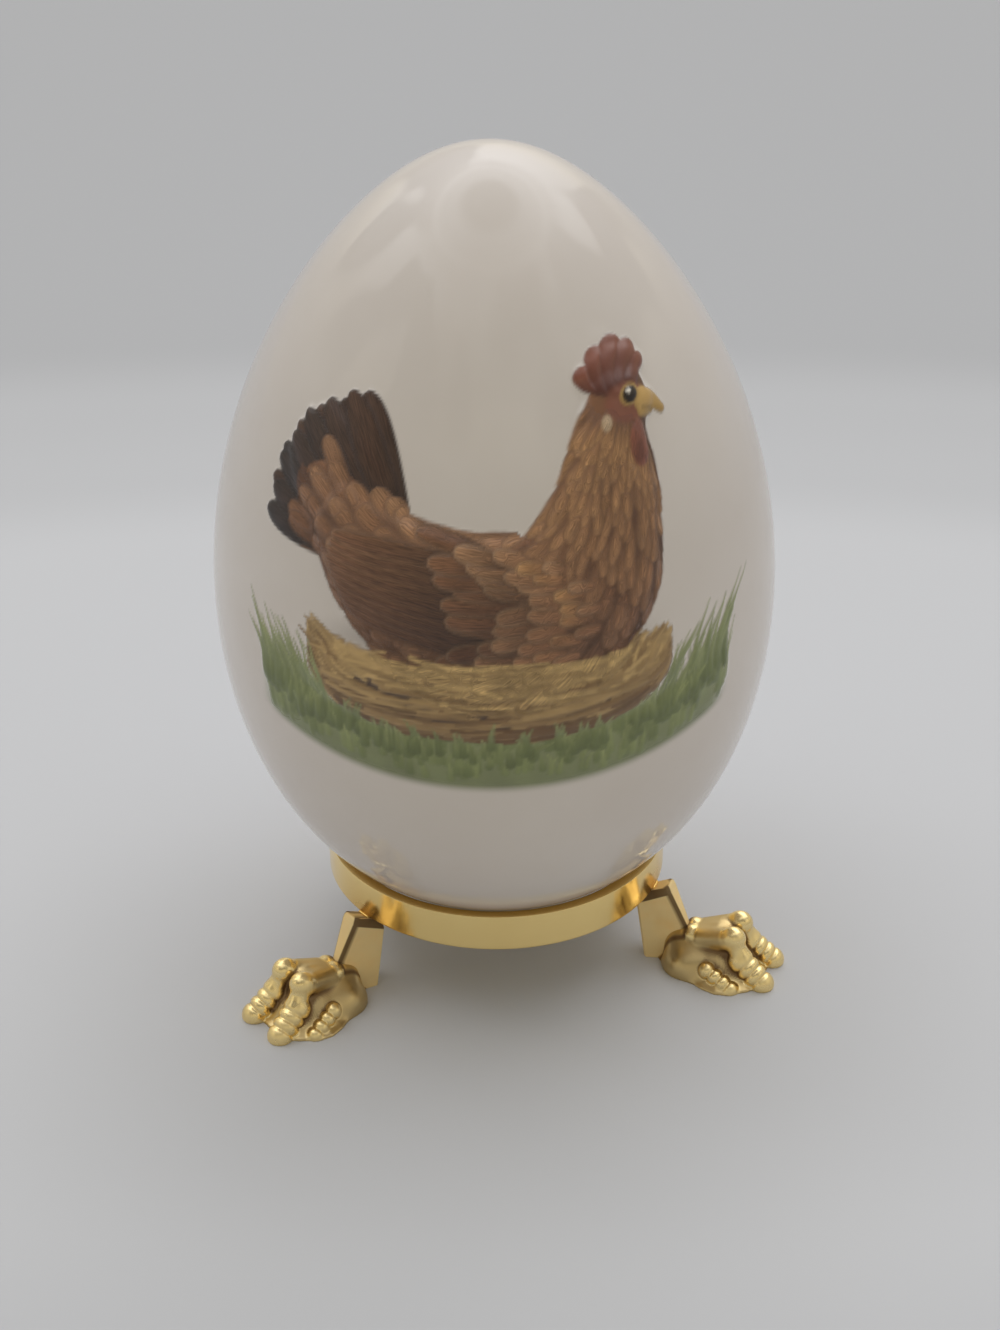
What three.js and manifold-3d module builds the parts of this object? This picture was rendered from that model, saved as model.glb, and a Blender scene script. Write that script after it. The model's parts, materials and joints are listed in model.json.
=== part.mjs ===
// A hollow porcelain Easter egg resting in a gilt ring stand, on three legs with cast paw feet.
// Millimetres, +Z up. The egg's decorated side faces -Y and the soles of the paws lie on z = 0.
// The origin is the middle of the box that the whole object fills, at table height.

import * as THREE from "three";
import { mergeVertices } from "three/addons/utils/BufferGeometryUtils.js";
import Module from "manifold-3d";

// Egg: a slip-cast shell with a drain hole in its blunt end
const EGG_HEIGHT = 90;
const EGG_RADIUS = 32;
const EGG_TAPER = 0.113; // lowers the widest belt below half height
const EGG_FULLNESS = -0.036; // fills out both ends when it is positive
const EGG_POINT = 0.061; // draws the tip out and blunts the base
const SHELL_WALL = 3;
const VENT_RADIUS = 3;
const EGG_CLEARANCE = 7; // from the table up to the egg's blunt end

// Ring: a plain band whose top inner edge is cut to the slope of the egg
const RING_RADIUS = 20.5;
const RING_WALL = 1.5;
const RING_HEIGHT = 4.6;
const RING_EDGE = 0.35; // width of the small flat on each corner of the band
const SEAT_WIDTH = 0.6; // radial width of the sloping seat

// Legs: leaning bars whose sloping tops carry the lower rim of the band
const LEG_FIRST_ANGLE = -50; // degrees from the front, positive towards +X
const LEG_NAMES = ["left", "right", "rear"];
const LEG_WIDTH = 3.6;
const LEG_EDGE = 0.9; // bevel along the bar's edges
const LEG_SHOULDER = 1.5; // how far the bar's top reaches in below the band
const LEG_LEAN = 1.4; // how far the inner face leans out towards the table
const TOP_SLOPE = 25; // degrees that the bar's top falls towards the axis
const KNEE_REACH = 1.6; // how far the knee stands out from the band
const SHIN_FLARE = 2.4; // how far the shin leans out below the knee
const HEEL_PLATE_HEIGHT = 4.9; // the upright flat that the paw is fixed to

// Paws: a sole, an instep and two pairs of toes, each toe a ridged finger from knuckle to tip
const PAW_WIDTH = 12.6;
const HEEL_WIDTH = 8.4;
const SOLE_LENGTH = 9.2;
const SOLE_THICKNESS = 1.2;
const INSTEP_LENGTH = 10;
const INSTEP_WIDTH = 8.2;
const INSTEP_HEIGHT = 5;
const INSTEP_REACH = 2.9; // from the heel plate to the crown of the instep
const MIDDLE_TOE_ACROSS = 1.75; // from the paw's middle plane
const MIDDLE_KNUCKLE_REACH = 5.8; // reaches are measured from the heel plate
const MIDDLE_KNUCKLE_HEIGHT = 5.25;
const MIDDLE_KNUCKLE_RADIUS = 1.6;
const MIDDLE_TIP_REACH = 10.2;
const MIDDLE_TIP_RADIUS = 1;
const OUTER_TOE_ACROSS = 4.4;
const OUTER_KNUCKLE_REACH = 3.5;
const OUTER_KNUCKLE_HEIGHT = 1.75;
const OUTER_KNUCKLE_RADIUS = 1.05;
const OUTER_TIP_REACH = 6.4;
const OUTER_TIP_RADIUS = 0.85;
const TOE_SPLAY = 14; // degrees that a toe turns away from the middle plane
const TIP_HEIGHT = 0.8;
const RIDGE_DEPTH = 0.2; // from a toe's ridges down to the grooves between them
const RIDGES_PER_TOE = 4;

// Clearances
const SEAT_GAP = 0.3; // between the egg and its seat
const JOINT_GAP = 0.3; // where brazed faces meet

// Facet counts
const ROUND_SIDES = 48;
const OUTER_RINGS = 30;
const INNER_RINGS = 14;
const TOE_SIDES = 10;
const INSTEP_SIDES = 16;
const INSTEP_RINGS = 10;
const SOLE_CURVE_STEPS = 5;

const HALF_TURN = Math.PI;

const wasm = await Module();
wasm.setup();

function porcelain() {
  return new THREE.MeshStandardMaterial({ color: 0xded7cc, roughness: 0.12, metalness: 0 });
}

function gilt() {
  return new THREE.MeshStandardMaterial({ color: 0xd9b45f, roughness: 0.18, metalness: 1 });
}

function solidFrom(geometry) {
  const bare = geometry.clone();
  bare.deleteAttribute("normal");
  bare.deleteAttribute("uv");
  const merged = mergeVertices(bare);
  const vertProperties = new Float32Array(merged.getAttribute("position").array);
  const triVerts = new Uint32Array(merged.index.array);
  return new wasm.Manifold(new wasm.Mesh({ numProp: 3, vertProperties, triVerts }));
}

function geometryFrom(solid) {
  const { vertProperties, triVerts } = solid.getMesh();
  const geometry = new THREE.BufferGeometry();
  geometry.setAttribute("position", new THREE.BufferAttribute(vertProperties, 3));
  geometry.setIndex(new THREE.BufferAttribute(triVerts, 1));
  geometry.computeVertexNormals();
  return geometry;
}

function namedMesh(name, geometry, material) {
  const mesh = new THREE.Mesh(geometry, material);
  mesh.name = name;
  return mesh;
}

// A body turned about +Z from a profile of (radius, height) points.
function turned(profile) {
  const points = profile.map(([radius, height]) => new THREE.Vector2(radius, height));
  return new THREE.LatheGeometry(points, ROUND_SIDES).rotateX(HALF_TURN / 2);
}

// The egg's outline. The angle runs from 0 at the blunt base to a half turn at the tip.
function eggShape(angle) {
  const c = Math.cos(angle);
  return Math.sin(angle) * (1 + EGG_TAPER * c + EGG_FULLNESS * c * c + EGG_POINT * c * c * c);
}

function widestAngle() {
  let low = 0;
  let high = HALF_TURN;
  while (high - low > 1e-7) {
    const third = (high - low) / 3;
    if (eggShape(low + third) < eggShape(high - third)) low += third;
    else high -= third;
  }
  return (low + high) / 2;
}

const WIDEST_ANGLE = widestAngle();

function outlinePoint(angle, radius, height) {
  const r = (radius * eggShape(angle)) / eggShape(WIDEST_ANGLE);
  return [r, (height * (1 - Math.cos(angle))) / 2];
}

// The angle at which the lower part of an outline reaches a given radius.
function angleAtRadius(wanted, radius) {
  let low = 0;
  let high = WIDEST_ANGLE;
  while (high - low > 1e-9) {
    const middle = (low + high) / 2;
    if (outlinePoint(middle, radius, 1)[0] < wanted) low = middle;
    else high = middle;
  }
  return (low + high) / 2;
}

function outline(radius, height, lift, rings) {
  const start = angleAtRadius(VENT_RADIUS, radius);
  return Array.from({ length: rings + 1 }, (_, i) => {
    const angle = start + ((HALF_TURN - start) * i) / rings;
    const [r, z] = outlinePoint(angle, radius, height);
    return [i === rings ? 0 : r, z + lift];
  });
}

function eggHeightAt(radius) {
  return outlinePoint(angleAtRadius(radius, EGG_RADIUS), EGG_RADIUS, EGG_HEIGHT)[1];
}

// The egg rests on the outer rim of the seat, which sets the height of the ring.
const RING_BORE = RING_RADIUS - RING_WALL;
const SEAT_RADIUS = RING_BORE + SEAT_WIDTH;
const SEAT_SLOPE = (eggHeightAt(SEAT_RADIUS) - eggHeightAt(RING_BORE)) / SEAT_WIDTH;
const SEAT_DROP = SEAT_GAP * Math.hypot(1, SEAT_SLOPE);
const RING_TOP = EGG_CLEARANCE + eggHeightAt(SEAT_RADIUS) - SEAT_DROP;
const RING_BASE = RING_TOP - RING_HEIGHT;

function eggShell() {
  const outer = outline(EGG_RADIUS, EGG_HEIGHT, 0, OUTER_RINGS);
  const inner = outline(EGG_RADIUS - SHELL_WALL, EGG_HEIGHT - 2 * SHELL_WALL, SHELL_WALL, INNER_RINGS);
  const geometry = turned([...inner.reverse(), ...outer]);
  const mesh = namedMesh("egg_shell", geometry, porcelain());
  mesh.position.z = EGG_CLEARANCE;
  return mesh;
}

function standRing() {
  const corners = [
    [RING_BORE, RING_BASE + RING_EDGE],
    [RING_BORE + RING_EDGE, RING_BASE],
    [RING_RADIUS - RING_EDGE, RING_BASE],
    [RING_RADIUS, RING_BASE + RING_EDGE],
    [RING_RADIUS, RING_TOP - RING_EDGE],
    [RING_RADIUS - RING_EDGE, RING_TOP],
    [SEAT_RADIUS, RING_TOP],
    [RING_BORE, RING_TOP - SEAT_WIDTH * SEAT_SLOPE],
  ];
  return namedMesh("stand_ring", turned([...corners, corners[0]]), gilt());
}

// The bar's top passes just under the lower rim of the band and rises to the knee.
const TOP_RISE = Math.tan(THREE.MathUtils.degToRad(TOP_SLOPE));
const TOP_AT_BAND = RING_BASE + RING_EDGE * TOP_RISE - JOINT_GAP * Math.hypot(1, TOP_RISE);
const KNEE_RADIUS = RING_RADIUS + KNEE_REACH;
const SHIN_OUTER = KNEE_RADIUS + SHIN_FLARE;
const LEG_INNER = RING_RADIUS - LEG_SHOULDER;

// The bar's side view, drawn as (distance from the axis, height), and given its width across.
function legBar() {
  const side = new THREE.Shape(
    [
      [LEG_INNER + LEG_LEAN, 0],
      [SHIN_OUTER, 0],
      [SHIN_OUTER, HEEL_PLATE_HEIGHT],
      [KNEE_RADIUS, TOP_AT_BAND + KNEE_REACH * TOP_RISE],
      [LEG_INNER, TOP_AT_BAND - LEG_SHOULDER * TOP_RISE],
    ].map(([x, y]) => new THREE.Vector2(x, y)),
  );
  const bar = new THREE.ExtrudeGeometry(side, {
    depth: LEG_WIDTH - 2 * LEG_EDGE,
    bevelThickness: LEG_EDGE,
    bevelSize: LEG_EDGE,
    bevelOffset: -LEG_EDGE,
    bevelSegments: 1,
  });
  return bar.translate(0, 0, LEG_EDGE - LEG_WIDTH / 2).rotateX(HALF_TURN / 2);
}

// The sole's outline: narrow at the heel, full across the toes.
function sole() {
  const half = PAW_WIDTH / 2;
  const widest = SOLE_LENGTH / 2;
  const shape = new THREE.Shape();
  shape.moveTo(0, -HEEL_WIDTH / 2);
  shape.quadraticCurveTo(widest / 2, -half, widest, -half);
  shape.quadraticCurveTo(SOLE_LENGTH, -half, SOLE_LENGTH, 0);
  shape.quadraticCurveTo(SOLE_LENGTH, half, widest, half);
  shape.quadraticCurveTo(widest / 2, half, 0, HEEL_WIDTH / 2);
  const settings = { depth: SOLE_THICKNESS, bevelEnabled: false, curveSegments: SOLE_CURVE_STEPS };
  return solidFrom(new THREE.ExtrudeGeometry(shape, settings));
}

function instep() {
  const dome = new THREE.SphereGeometry(1, INSTEP_SIDES, INSTEP_RINGS).rotateX(HALF_TURN / 2);
  dome.scale(INSTEP_LENGTH / 2, INSTEP_WIDTH / 2, INSTEP_HEIGHT);
  return solidFrom(dome.translate(INSTEP_REACH, 0, 0));
}

// A toe's side view along its own axis: round ends, and ridges that taper from knuckle to tip.
function toeProfile(length, knuckleRadius, tipRadius) {
  const steps = 2 * RIDGES_PER_TOE - 2;
  const ridges = Array.from({ length: steps + 1 }, (_, i) => {
    const crest = knuckleRadius + ((tipRadius - knuckleRadius) * i) / steps;
    return new THREE.Vector2(crest - (i % 2) * RIDGE_DEPTH, (length * i) / steps);
  });
  const back = new THREE.Vector2(0, -knuckleRadius);
  const front = new THREE.Vector2(0, length + tipRadius);
  const shoulder = Math.SQRT1_2;
  const backRound = new THREE.Vector2(knuckleRadius * shoulder, -knuckleRadius * shoulder);
  const frontRound = new THREE.Vector2(tipRadius * shoulder, length + tipRadius * shoulder);
  return [back, backRound, ...ridges, frontRound, front];
}

function toeFinger(toe, side) {
  const along = toe.tipReach - toe.knuckleReach;
  const splay = side * along * Math.tan(THREE.MathUtils.degToRad(TOE_SPLAY));
  const run = new THREE.Vector3(along, splay, TIP_HEIGHT - toe.knuckleHeight);
  const profile = toeProfile(run.length(), toe.knuckleRadius, toe.tipRadius);
  const finger = new THREE.LatheGeometry(profile, TOE_SIDES);
  const axis = new THREE.Vector3(0, 1, 0);
  finger.applyQuaternion(new THREE.Quaternion().setFromUnitVectors(axis, run.normalize()));
  return solidFrom(finger.translate(toe.knuckleReach, side * toe.across, toe.knuckleHeight));
}

const TOES = [
  {
    across: MIDDLE_TOE_ACROSS,
    knuckleReach: MIDDLE_KNUCKLE_REACH,
    knuckleHeight: MIDDLE_KNUCKLE_HEIGHT,
    knuckleRadius: MIDDLE_KNUCKLE_RADIUS,
    tipReach: MIDDLE_TIP_REACH,
    tipRadius: MIDDLE_TIP_RADIUS,
  },
  {
    across: OUTER_TOE_ACROSS,
    knuckleReach: OUTER_KNUCKLE_REACH,
    knuckleHeight: OUTER_KNUCKLE_HEIGHT,
    knuckleRadius: OUTER_KNUCKLE_RADIUS,
    tipReach: OUTER_TIP_REACH,
    tipRadius: OUTER_TIP_RADIUS,
  },
];

// A block on one side of a plane, for cutting the paw flat at its heel and its sole.
function cutter(x, z) {
  const size = 2 * (MIDDLE_TIP_REACH + PAW_WIDTH);
  return solidFrom(new THREE.BoxGeometry(size, size, size).translate(x * size / 2, 0, z * size / 2));
}

function paw() {
  const toes = TOES.flatMap((toe) => [toeFinger(toe, -1), toeFinger(toe, 1)]);
  const whole = toes.reduce((body, next) => body.add(next), sole().add(instep()));
  const flat = whole.subtract(cutter(0, -1)).subtract(cutter(-1, 0));
  return geometryFrom(flat);
}

function legAndPaw(name, index) {
  const group = new THREE.Group();
  const angle = LEG_FIRST_ANGLE + (360 / LEG_NAMES.length) * index;
  group.rotation.z = THREE.MathUtils.degToRad(angle) - HALF_TURN / 2;
  const foot = namedMesh(`${name}_paw`, paw(), gilt());
  foot.position.x = SHIN_OUTER + JOINT_GAP;
  group.add(namedMesh(`${name}_leg`, legBar(), gilt()), foot);
  return group;
}

const assembly = new THREE.Group();
assembly.add(eggShell(), standRing(), ...LEG_NAMES.map(legAndPaw));

const box = new THREE.Box3().setFromObject(assembly, true);
const middle = box.getCenter(new THREE.Vector3());
assembly.position.set(-middle.x, -middle.y, 0);

const easterEgg = new THREE.Group();
easterEgg.name = "easter_egg";
easterEgg.add(assembly);

export default easterEgg;
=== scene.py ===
import json
import math

import bpy
import numpy as np
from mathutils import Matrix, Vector


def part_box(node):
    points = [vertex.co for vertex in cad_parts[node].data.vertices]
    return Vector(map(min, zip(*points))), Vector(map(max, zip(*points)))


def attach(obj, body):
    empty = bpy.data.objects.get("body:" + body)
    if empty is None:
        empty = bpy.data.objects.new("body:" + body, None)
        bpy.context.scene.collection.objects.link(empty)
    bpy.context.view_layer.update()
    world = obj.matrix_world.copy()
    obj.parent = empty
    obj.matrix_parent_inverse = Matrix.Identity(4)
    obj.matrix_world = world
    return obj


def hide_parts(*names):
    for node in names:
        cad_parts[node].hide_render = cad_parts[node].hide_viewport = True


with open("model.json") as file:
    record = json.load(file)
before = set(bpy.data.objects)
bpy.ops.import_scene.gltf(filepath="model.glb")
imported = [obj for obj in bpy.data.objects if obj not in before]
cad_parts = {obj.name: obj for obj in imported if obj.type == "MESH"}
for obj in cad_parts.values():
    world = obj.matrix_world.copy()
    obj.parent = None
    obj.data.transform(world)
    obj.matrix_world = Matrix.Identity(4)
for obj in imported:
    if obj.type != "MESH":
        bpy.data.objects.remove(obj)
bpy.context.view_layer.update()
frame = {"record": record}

# Ring. The plain band that the egg sits in: a brass strip rolled into a hoop, its edges eased on a
# polishing wheel and gold plated. A narrow slope inside its upper rim is the seat, which touches the egg.
MM = 0.001
RING_BORE = 18.4
SEAT_RIM = 18.88
SEAT_DIP = 0.28
SEAT_DEPTH = 0.72
RING_SIDES = 240
RIM_WIDTH = 0.3
RIM_EASE = 0.035
FOOT_EASE = 0.3
BORE_EASE = 0.15
SEAT_EASE = 0.08
EDGE_STEPS = 5
FLAT_START = 0.06
GOLD = (1.0, 0.765, 0.33)
DEEP_GOLD = (0.8, 0.52, 0.17)
DRIFT_SCALE = 160.0
HAZE_SCALE = 420.0
DRIFT_DULL = 0.14
HOLLOW_ROUGH = 0.22
GILT_SOCKETS = {
    "INPUT": {"Bright": "Color", "Deep": "Color", "Polish": "Float", "Grain": "Float", "Hollow": "Float"},
    "OUTPUT": {"Color": "Color", "Roughness": "Float", "Height": "Float"},
}

ring_low, ring_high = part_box("stand_ring")
stand_axis = Vector(((ring_low.x + ring_high.x) / 2, (ring_low.y + ring_high.y) / 2, 0))
RING_RADIUS = (ring_high.x - ring_low.x) / 2 / MM
RING_BASE = ring_low.z / MM
RING_TOP = ring_high.z / MM


def rounded(corners, steps):
    """A closed outline of points, each eased to its own radius."""
    points = []
    for i, (*corner, radius) in enumerate(corners):
        here = Vector(corner)
        back = (Vector(corners[i - 1][:2]) - here).normalized()
        ahead = (Vector(corners[(i + 1) % len(corners)][:2]) - here).normalized()
        half = back.angle(ahead) / 2
        centre = here + (back + ahead).normalized() * radius / math.sin(half)
        reach = radius / math.tan(half)
        first, last = here + back * reach - centre, here + ahead * reach - centre
        points.append(here + back * (reach + FLAT_START))
        for k in range(steps + 1):
            points.append(centre + first.slerp(last, k / steps) * radius)
        points.append(here + ahead * (reach + FLAT_START))
    return points


def loop_faces(loops, count, closed=False, flipped=False):
    """Faces between neighbouring loops of points, each loop closed on itself."""
    faces = []
    for i in range(loops if closed else loops - 1):
        j = (i + 1) % loops
        for k in range(count):
            m = (k + 1) % count
            quad = (i * count + k, j * count + k, j * count + m, i * count + m)
            faces.append((quad[0], *quad[:0:-1]) if flipped else quad)
    return faces


def turned(outline, sides):
    """Points and faces of a closed outline of radii and heights spun about the stand's axis."""
    turns = [2 * math.pi * k / sides for k in range(sides)]
    points = [(r * math.sin(a), -r * math.cos(a), z) for a in turns for r, z in outline]
    return points, loop_faces(sides, len(outline), closed=True)


def add_object(name, data):
    """A new object in the scene."""
    made = bpy.data.objects.new(name, data)
    bpy.context.scene.collection.objects.link(made)
    return made


def add_piece(name, points, faces, material, body, slot, replaced=()):
    """A smooth piece from points in millimetres about the stand's axis, riding on a body."""
    mesh = bpy.data.meshes.new(name)
    mesh.from_pydata([stand_axis + Vector(p) * MM for p in points], [], faces)
    mesh.shade_smooth()
    mesh.materials.append(material)
    made = add_object(name, mesh)
    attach(made, body)
    if replaced:
        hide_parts(*replaced)
    return made


def feed(tree, socket, value):
    """Links a socket to another node's output, or gives it a value."""
    if isinstance(value, bpy.types.NodeSocket):
        tree.links.new(value, socket)
    else:
        socket.default_value = value


def add_node(tree, kind, inputs=(), **settings):
    """A node with its settings, and with each input linked or given a value."""
    made = tree.nodes.new(kind)
    for name, value in settings.items():
        setattr(made, name, value)
    for key, value in dict(inputs).items():
        feed(tree, made.inputs[key], value)
    return made


def new_finish(name):
    """A new material, its tree of nodes and its shader's sockets."""
    material = bpy.data.materials.new(name)
    material.use_nodes = True
    tree = material.node_tree
    return material, tree, tree.nodes["Principled BSDF"].inputs


def stored(tree, name, output):
    """What a piece's points hold under a name."""
    return add_node(tree, "ShaderNodeAttribute", attribute_name=name).outputs[output]


def noise(tree, place, scale, detail, distortion=0.0):
    """Cloudy noise over a place."""
    values = {"Vector": place, "Scale": scale, "Detail": detail, "Distortion": distortion}
    return add_node(tree, "ShaderNodeTexNoise", values).outputs[0]


def ranged(tree, value, start, end=(0.0, 1.0), easing="LINEAR"):
    """A value spread from one range to another and held at both ends."""
    values = {"Value": value, "From Min": start[0], "From Max": start[1], "To Min": end[0], "To Max": end[1]}
    return add_node(tree, "ShaderNodeMapRange", values, interpolation_type=easing).outputs[0]


def worked(tree, operation, *values, clamp=False):
    """Values put through one step of arithmetic."""
    inputs = dict(enumerate(values))
    return add_node(tree, "ShaderNodeMath", inputs, operation=operation, use_clamp=clamp).outputs[0]


def mixed_colour(tree, share, first, second, blend="MIX"):
    """Two colours mixed by a share."""
    made = add_node(tree, "ShaderNodeMix", {"Factor": share}, data_type="RGBA", blend_type=blend)
    colours = [socket for socket in made.inputs if socket.type == "RGBA"]
    for socket, value in zip(colours, (first, second)):
        feed(tree, socket, value)
    return next(socket for socket in made.outputs if socket.type == "RGBA")


def bumped(tree, height, depth, **under):
    """The slant of a surface that a height roughens to a depth in millimetres."""
    values = {"Height": height, "Strength": 1.0, "Distance": depth * MM, **under}
    return add_node(tree, "ShaderNodeBump", values).outputs["Normal"]


def gilt_group():
    """Gold plate on brass: the tone drifts at random, each piece's marked points are painted towards the deep
    tone and dulled, and the polish is hazy in places.
    """
    group = bpy.data.node_groups.new("gilt_plate", "ShaderNodeTree")
    for side, kinds in GILT_SOCKETS.items():
        for name, kind in kinds.items():
            group.interface.new_socket(name, in_out=side, socket_type=f"NodeSocket{kind}")
    given = add_node(group, "NodeGroupInput").outputs
    place = add_node(group, "ShaderNodeTexCoord").outputs["Object"]
    drift = noise(group, place, DRIFT_SCALE, 3.0)
    grain = noise(group, place, given["Grain"], 4.0)
    haze = noise(group, place, HAZE_SCALE, 2.0)
    dull = ranged(group, drift, (0.35, 0.75), (0.0, DRIFT_DULL))
    # The random drift plus each piece's stored darkening, which holds painted shade in the paws' hollows and
    # under the band, and a painted reflection on the band.
    sunk = worked(group, "ADD", dull, given["Hollow"], clamp=True)
    tint = mixed_colour(group, sunk, given["Bright"], given["Deep"])
    spread = ranged(group, haze, (0.3, 0.7), (0.7, 1.45))
    rough = worked(group, "MULTIPLY", given["Polish"], spread)
    rougher = worked(group, "MULTIPLY_ADD", given["Hollow"], HOLLOW_ROUGH, rough)
    add_node(group, "NodeGroupOutput", {"Color": tint, "Roughness": rougher, "Height": grain})
    return group


gilt_plate = gilt_group()


def gilt(name, bright, deep, polish, grain, relief, metal=1.0):
    """A gold-plated finish with its own tones, polish and size of casting grain."""
    material, tree, shader = new_finish(name)
    shader["Metallic"].default_value = metal
    hollow = stored(tree, "hollow", "Fac")
    given = {"Bright": (*bright, 1), "Deep": (*deep, 1), "Polish": polish, "Grain": grain, "Hollow": hollow}
    plate = add_node(tree, "ShaderNodeGroup", given, node_tree=gilt_plate).outputs
    feed(tree, shader["Base Color"], plate["Color"])
    feed(tree, shader["Roughness"], plate["Roughness"])
    feed(tree, shader["Normal"], bumped(tree, plate["Height"], relief))
    return material


ring_outline = rounded(
    [
        (RING_BORE, RING_BASE, BORE_EASE),
        (RING_RADIUS, RING_BASE, FOOT_EASE),
        (RING_RADIUS, RING_TOP, RIM_EASE),
        (RING_RADIUS - RIM_WIDTH, RING_TOP, RIM_EASE),
        (SEAT_RIM, RING_TOP - SEAT_DIP, SEAT_EASE),
        (RING_BORE, RING_TOP - SEAT_DEPTH, SEAT_EASE),
    ],
    EDGE_STEPS,
)
ring_finish = gilt("ring_gilt", GOLD, DEEP_GOLD, polish=0.13, grain=600.0, relief=0.012)
ring_points, ring_faces = turned(ring_outline, RING_SIDES)
ring = add_piece("ring", ring_points, ring_faces, ring_finish, "stand", "gilt", ["stand_ring"])

# Legs. Three brass bars that lean outwards, filed narrower towards their outer faces. Each has a
# sloping top that carries the band's lower rim. They are brazed on and plated with the rest. Their
# bevels are darker, and the tops of their sides just under the band are painted dark as shade.
LEG_SLOPE = math.tan(math.radians(25))
BRAZE_GAP = 0.17
LEG_TOP = RING_BASE - BRAZE_GAP
LEG_SIDE_DROP = 1.0
LEG_HALF = 1.75
LEG_CREST = 0.95
LEG_FACE = (0.5, 1.05)
LEG_INNER = 18.4
LEG_LEAN = 0.16
KNEE_REACH = 1.9
SHIN_REACH = 4.3
SHIN_HEIGHT = 4.9
KNEE = (RING_RADIUS + KNEE_REACH, LEG_TOP + KNEE_REACH * LEG_SLOPE)
SHIN = (RING_RADIUS + SHIN_REACH, SHIN_HEIGHT)
LEG_BEVEL = 0.34
BEVEL_SPREAD = 0.8
SIDE_SHARE = 0.9
INNER_EASE = 0.3
FACE_EASE = 0.12
LEG_ROUND = 0.07
LEG_ROUND_FROM = math.radians(18)
# The legs' gold is paler than the band's: painted light on their sides.
LEG_GOLD = (1.0, 0.79, 0.42)
# The legs' dark tone: painted shade on the tops of their sides under the band, and darker bevels.
LEG_DARK_TONE = (0.2, 0.13, 0.065)
LEG_DARKENING = 0.9
# Cuts under the sloping top: drop, half width, narrowing, darkening and easing. The middle four paint the
# sides dark as shade under the band.
LEG_CUTS = (
    (LEG_SIDE_DROP + 0.12, LEG_HALF, 0.04, 0.0, 0.0),
    (LEG_SIDE_DROP, LEG_HALF, 0.0, LEG_DARKENING, 0.0),
    (0.4, LEG_HALF - 0.48, 0.06, LEG_DARKENING, 0.0),
    (0.2, LEG_CREST + 0.16, 0.12, LEG_DARKENING, 0.03),
    (0.06, LEG_CREST, 0.2, LEG_DARKENING, 0.09),
    (0.0, LEG_CREST - 0.1, 0.34, 0.0, 0.2),
)
LEG_NAMES = ("left", "right", "rear")

leg_turns = {}
for mount in frame["record"]["mounts"]:
    away = Vector(mount["pos_m"]) - stand_axis
    leg_turns[mount["name"].removesuffix("_sole")] = math.atan2(away.x, -away.y)


def about_axis(turn, out, across, height):
    """A point given by its distance from the stand's axis along a leg, across the leg, and its height."""
    sine, cosine = math.sin(turn), math.cos(turn)
    return out * sine + across * cosine, across * sine - out * cosine, height


def between(first, last, share):
    """A value, point or colour part of the way from one to another."""
    return first + (last - first) * share


def leg_cut(level, slope, half, face, darkened, easing):
    """One cut through the bar: points as reach, across and height, with how far each one is darkened."""
    lean = (SHIN[0] - KNEE[0]) / (KNEE[1] - SHIN[1])
    top = LEG_TOP - LEG_SLOPE * (RING_RADIUS - LEG_INNER)
    base = level - slope * RING_RADIUS
    inner = (LEG_INNER + LEG_LEAN * (top - base)) / (1 + LEG_LEAN * slope)
    outer = (KNEE[0] + lean * (KNEE[1] - base)) / (1 + lean * slope)
    outer = min(outer, SHIN[0]) - easing
    edge = outer - LEG_BEVEL
    shoulder = face + LEG_BEVEL * BEVEL_SPREAD
    inset = between(half, shoulder, SIDE_SHARE)
    half_cut = [
        (inner, 0.0, 0.0),
        (inner, half - INNER_EASE, 0.0),
        (inner + INNER_EASE, half, 0.0),
        (between(inner, edge, SIDE_SHARE), inset, 0.0),
        # The bevel is darkened all along the bar.
        (edge, shoulder, LEG_DARKENING),
        (outer - 0.05, face + 0.03, LEG_DARKENING),
        (outer, face - FACE_EASE, 0.0),
        (outer, 0.0, 0.0),
    ]
    loop = half_cut + [(r, -t, g) for r, t, g in half_cut[-2:0:-1]]
    return [((r, t, base + slope * r), max(g, darkened) if abs(t) > face - 0.1 else 0.0) for r, t, g in loop]


def leg_shape():
    """The bar from the table up to its sloping top, as points, faces and darkening."""
    low_face, high_face = LEG_FACE
    cuts = [leg_cut(level, 0.0, LEG_HALF, low_face, 0.0, 0.0) for level in (0.0, SHIN[1])]
    for drop, half, narrower, darkened, easing in LEG_CUTS:
        cuts.append(leg_cut(LEG_TOP - drop, LEG_SLOPE, half, high_face - narrower, darkened, easing))
    count = len(cuts[0])
    last = (len(cuts) - 1) * count
    faces = [tuple(range(count - 1, -1, -1)), tuple(range(last, last + count))]
    faces += loop_faces(len(cuts), count, flipped=True)
    spots = [spot for cut in cuts for spot, _ in cut]
    return spots, faces, [darkness for cut in cuts for _, darkness in cut]


def set_hollow(piece, values):
    """Stores how far each point of a gilt piece is darkened towards its deep tone and dulled."""
    layer = piece.data.attributes.new("hollow", "FLOAT", "POINT")
    layer.data.foreach_set("value", values)


leg_finish = gilt("leg_gilt", LEG_GOLD, LEG_DARK_TONE, polish=0.62, grain=700.0, relief=0.02, metal=0.45)
leg_points, leg_faces, leg_darkening = leg_shape()
for name in LEG_NAMES:
    placed = [about_axis(leg_turns[name], *p) for p in leg_points]
    leg = add_piece(f"{name}_leg_bar", placed, leg_faces, leg_finish, "stand", "gilt", [f"{name}_leg"])
    set_hollow(leg, leg_darkening)
    bevel = leg.modifiers.new("eased_edges", "BEVEL")
    bevel.width = LEG_ROUND * MM
    bevel.segments = 2
    bevel.limit_method = "ANGLE"
    bevel.angle_limit = LEG_ROUND_FROM
    bevel.harden_normals = True

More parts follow.
